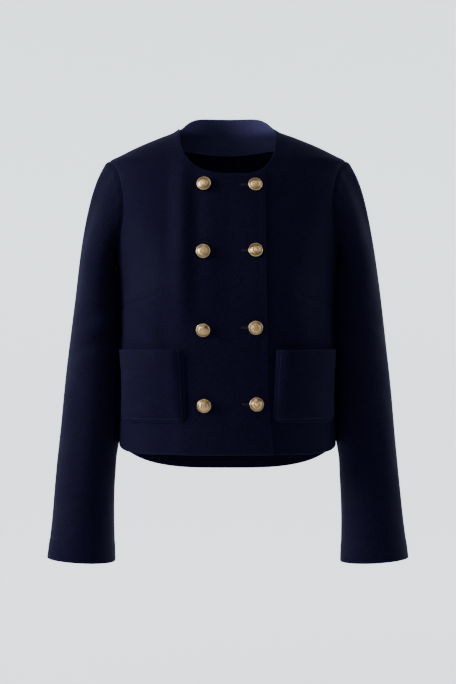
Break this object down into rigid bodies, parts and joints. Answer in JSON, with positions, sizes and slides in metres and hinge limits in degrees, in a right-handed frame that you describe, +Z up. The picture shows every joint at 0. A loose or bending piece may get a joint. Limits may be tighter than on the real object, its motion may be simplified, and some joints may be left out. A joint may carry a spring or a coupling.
{
  "type": "double-breasted scuba jacket",
  "caption": "Cropped collarless double-breasted jacket, filled out as worn, with long sleeves, patch pockets and domed metal buttons.",
  "frame": {"origin": "midway between the two shoulder-neck points, where the jacket rests on its wearer", "axes": "+Z up from hem to neck, -Y out of the front with the buttons, +X towards the wearer's left"},
  "size_m": [0.557, 0.2325, 0.6877],
  "materials": {
    "navy_scuba": "matt, fine crepe grain",
    "navy_facing": "matt",
    "gold_tone_metal": "softly polished, raised relief"
  },
  "bodies": {
    "root": {"front_right": "navy_scuba", "front_left": "navy_scuba", "back": "navy_scuba", "back_neck_facing": "navy_facing", "sleeve_right": "navy_scuba", "sleeve_left": "navy_scuba", "pocket_right": "navy_scuba", "pocket_left": "navy_scuba", "button_plain_1": "gold_tone_metal", "button_plain_2": "gold_tone_metal", "button_plain_3": "gold_tone_metal", "button_plain_4": "gold_tone_metal", "button_fastened_1": "gold_tone_metal", "button_fastened_2": "gold_tone_metal", "button_fastened_3": "gold_tone_metal", "button_fastened_4": "gold_tone_metal"}
  },
  "joints": []
}
